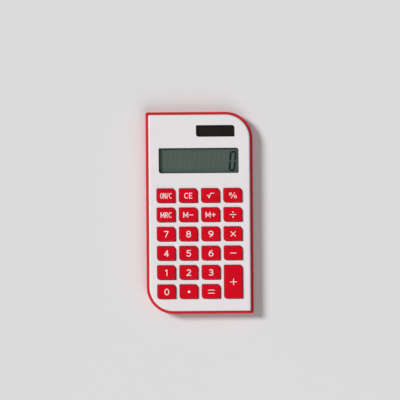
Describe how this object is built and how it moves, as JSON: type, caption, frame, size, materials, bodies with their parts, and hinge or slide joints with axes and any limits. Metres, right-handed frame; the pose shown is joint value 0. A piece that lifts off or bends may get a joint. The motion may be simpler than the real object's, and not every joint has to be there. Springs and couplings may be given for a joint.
{
  "type": "pocket calculator",
  "caption": "Pocket calculator with a white front, red back and red push keys, a display under a window, a solar cell and a sliding battery door.",
  "frame": {"origin": "middle of the case's outline, on the flat back", "axes": "+X to the right across the keys, +Y towards the display end, +Z out of the face"},
  "size_m": [0.063, 0.119, 0.0109],
  "materials": {
    "white_case": "satin white ABS",
    "red_case": "satin red ABS",
    "red_key": "satin red ABS",
    "clear_window": "clear acrylic",
    "display_glass": "thin polished glass",
    "reflector_film": "grey film",
    "foam": "black foam",
    "silicone": "grey silicone",
    "zebra_rubber": "layered conductive rubber",
    "board_laminate": "green solder mask",
    "black_resin": "black epoxy",
    "ceramic_part": "brown ceramic",
    "diode_resin": "moulded resin",
    "solar_glass": "dark coated glass",
    "red_wire": "red insulation",
    "black_wire": "black insulation",
    "cell_steel": "nickel-plated steel",
    "seal_plastic": "black nylon",
    "contact_metal": "plated spring steel",
    "screw_steel": "zinc-plated steel"
  },
  "bodies": {
    "case": {"front_case": "white_case", "back_case": "red_case", "display_window": "clear_window", "solar_window": "clear_window", "lcd_front_glass": "display_glass", "lcd_rear_glass": "display_glass", "lcd_reflector": "reflector_film", "lcd_foam_pad": "foam", "zebra_connector": "zebra_rubber", "dome_mat": "silicone", "main_board": "board_laminate", "chip_blob": "black_resin", "smoothing_capacitor": "ceramic_part", "clamp_diode": "diode_resin", "solar_cell": "solar_glass", "solar_wire_plus": "red_wire", "solar_wire_minus": "black_wire", "cell_can": "cell_steel", "cell_cap": "cell_steel", "cell_seal": "seal_plastic", "cell_contact_cap": "contact_metal", "cell_contact_side": "contact_metal", "case_screw_1": "screw_steel", "case_screw_2": "screw_steel", "case_screw_3": "screw_steel", "case_screw_4": "screw_steel", "case_screw_5": "screw_steel", "case_screw_6": "screw_steel", "board_screw_1": "screw_steel", "board_screw_2": "screw_steel", "board_screw_3": "screw_steel", "board_screw_4": "screw_steel"},
    "battery_door": {"battery_door": "red_case"},
    "key_on_clear": {"key_on_clear": "red_key"},
    "key_clear_entry": {"key_clear_entry": "red_key"},
    "key_root": {"key_root": "red_key"},
    "key_percent": {"key_percent": "red_key"},
    "key_memory_recall": {"key_memory_recall": "red_key"},
    "key_memory_minus": {"key_memory_minus": "red_key"},
    "key_memory_plus": {"key_memory_plus": "red_key"},
    "key_divide": {"key_divide": "red_key"},
    "key_7": {"key_7": "red_key"},
    "key_8": {"key_8": "red_key"},
    "key_9": {"key_9": "red_key"},
    "key_multiply": {"key_multiply": "red_key"},
    "key_4": {"key_4": "red_key"},
    "key_5": {"key_5": "red_key"},
    "key_6": {"key_6": "red_key"},
    "key_minus": {"key_minus": "red_key"},
    "key_1": {"key_1": "red_key"},
    "key_2": {"key_2": "red_key"},
    "key_3": {"key_3": "red_key"},
    "key_plus": {"key_plus": "red_key"},
    "key_0": {"key_0": "red_key"},
    "key_point": {"key_point": "red_key"},
    "key_equals": {"key_equals": "red_key"}
  },
  "joints": [
    {"name": "battery_door_slide", "type": "slide", "parent": "case", "child": "battery_door", "axis": [0, 1, 0], "range_m": [0, 0.012]},
    {"name": "key_on_clear_press", "type": "slide", "parent": "case", "child": "key_on_clear", "axis": [0, 0, -1], "range_m": [0, 0.001], "stiffness_N_per_m": 600, "springref_m": -0.0002, "deforming": ["dome_mat"]},
    {"name": "key_clear_entry_press", "type": "slide", "parent": "case", "child": "key_clear_entry", "axis": [0, 0, -1], "range_m": [0, 0.001], "stiffness_N_per_m": 600, "springref_m": -0.0002, "deforming": ["dome_mat"]},
    {"name": "key_root_press", "type": "slide", "parent": "case", "child": "key_root", "axis": [0, 0, -1], "range_m": [0, 0.001], "stiffness_N_per_m": 600, "springref_m": -0.0002, "deforming": ["dome_mat"]},
    {"name": "key_percent_press", "type": "slide", "parent": "case", "child": "key_percent", "axis": [0, 0, -1], "range_m": [0, 0.001], "stiffness_N_per_m": 600, "springref_m": -0.0002, "deforming": ["dome_mat"]},
    {"name": "key_memory_recall_press", "type": "slide", "parent": "case", "child": "key_memory_recall", "axis": [0, 0, -1], "range_m": [0, 0.001], "stiffness_N_per_m": 600, "springref_m": -0.0002, "deforming": ["dome_mat"]},
    {"name": "key_memory_minus_press", "type": "slide", "parent": "case", "child": "key_memory_minus", "axis": [0, 0, -1], "range_m": [0, 0.001], "stiffness_N_per_m": 600, "springref_m": -0.0002, "deforming": ["dome_mat"]},
    {"name": "key_memory_plus_press", "type": "slide", "parent": "case", "child": "key_memory_plus", "axis": [0, 0, -1], "range_m": [0, 0.001], "stiffness_N_per_m": 600, "springref_m": -0.0002, "deforming": ["dome_mat"]},
    {"name": "key_divide_press", "type": "slide", "parent": "case", "child": "key_divide", "axis": [0, 0, -1], "range_m": [0, 0.001], "stiffness_N_per_m": 600, "springref_m": -0.0002, "deforming": ["dome_mat"]},
    {"name": "key_7_press", "type": "slide", "parent": "case", "child": "key_7", "axis": [0, 0, -1], "range_m": [0, 0.001], "stiffness_N_per_m": 600, "springref_m": -0.0002, "deforming": ["dome_mat"]},
    {"name": "key_8_press", "type": "slide", "parent": "case", "child": "key_8", "axis": [0, 0, -1], "range_m": [0, 0.001], "stiffness_N_per_m": 600, "springref_m": -0.0002, "deforming": ["dome_mat"]},
    {"name": "key_9_press", "type": "slide", "parent": "case", "child": "key_9", "axis": [0, 0, -1], "range_m": [0, 0.001], "stiffness_N_per_m": 600, "springref_m": -0.0002, "deforming": ["dome_mat"]},
    {"name": "key_multiply_press", "type": "slide", "parent": "case", "child": "key_multiply", "axis": [0, 0, -1], "range_m": [0, 0.001], "stiffness_N_per_m": 600, "springref_m": -0.0002, "deforming": ["dome_mat"]},
    {"name": "key_4_press", "type": "slide", "parent": "case", "child": "key_4", "axis": [0, 0, -1], "range_m": [0, 0.001], "stiffness_N_per_m": 600, "springref_m": -0.0002, "deforming": ["dome_mat"]},
    {"name": "key_5_press", "type": "slide", "parent": "case", "child": "key_5", "axis": [0, 0, -1], "range_m": [0, 0.001], "stiffness_N_per_m": 600, "springref_m": -0.0002, "deforming": ["dome_mat"]},
    {"name": "key_6_press", "type": "slide", "parent": "case", "child": "key_6", "axis": [0, 0, -1], "range_m": [0, 0.001], "stiffness_N_per_m": 600, "springref_m": -0.0002, "deforming": ["dome_mat"]},
    {"name": "key_minus_press", "type": "slide", "parent": "case", "child": "key_minus", "axis": [0, 0, -1], "range_m": [0, 0.001], "stiffness_N_per_m": 600, "springref_m": -0.0002, "deforming": ["dome_mat"]},
    {"name": "key_1_press", "type": "slide", "parent": "case", "child": "key_1", "axis": [0, 0, -1], "range_m": [0, 0.001], "stiffness_N_per_m": 600, "springref_m": -0.0002, "deforming": ["dome_mat"]},
    {"name": "key_2_press", "type": "slide", "parent": "case", "child": "key_2", "axis": [0, 0, -1], "range_m": [0, 0.001], "stiffness_N_per_m": 600, "springref_m": -0.0002, "deforming": ["dome_mat"]},
    {"name": "key_3_press", "type": "slide", "parent": "case", "child": "key_3", "axis": [0, 0, -1], "range_m": [0, 0.001], "stiffness_N_per_m": 600, "springref_m": -0.0002, "deforming": ["dome_mat"]},
    {"name": "key_plus_press", "type": "slide", "parent": "case", "child": "key_plus", "axis": [0, 0, -1], "range_m": [0, 0.001], "stiffness_N_per_m": 600, "springref_m": -0.0002, "deforming": ["dome_mat"]},
    {"name": "key_0_press", "type": "slide", "parent": "case", "child": "key_0", "axis": [0, 0, -1], "range_m": [0, 0.001], "stiffness_N_per_m": 600, "springref_m": -0.0002, "deforming": ["dome_mat"]},
    {"name": "key_point_press", "type": "slide", "parent": "case", "child": "key_point", "axis": [0, 0, -1], "range_m": [0, 0.001], "stiffness_N_per_m": 600, "springref_m": -0.0002, "deforming": ["dome_mat"]},
    {"name": "key_equals_press", "type": "slide", "parent": "case", "child": "key_equals", "axis": [0, 0, -1], "range_m": [0, 0.001], "stiffness_N_per_m": 600, "springref_m": -0.0002, "deforming": ["dome_mat"]}
  ]
}
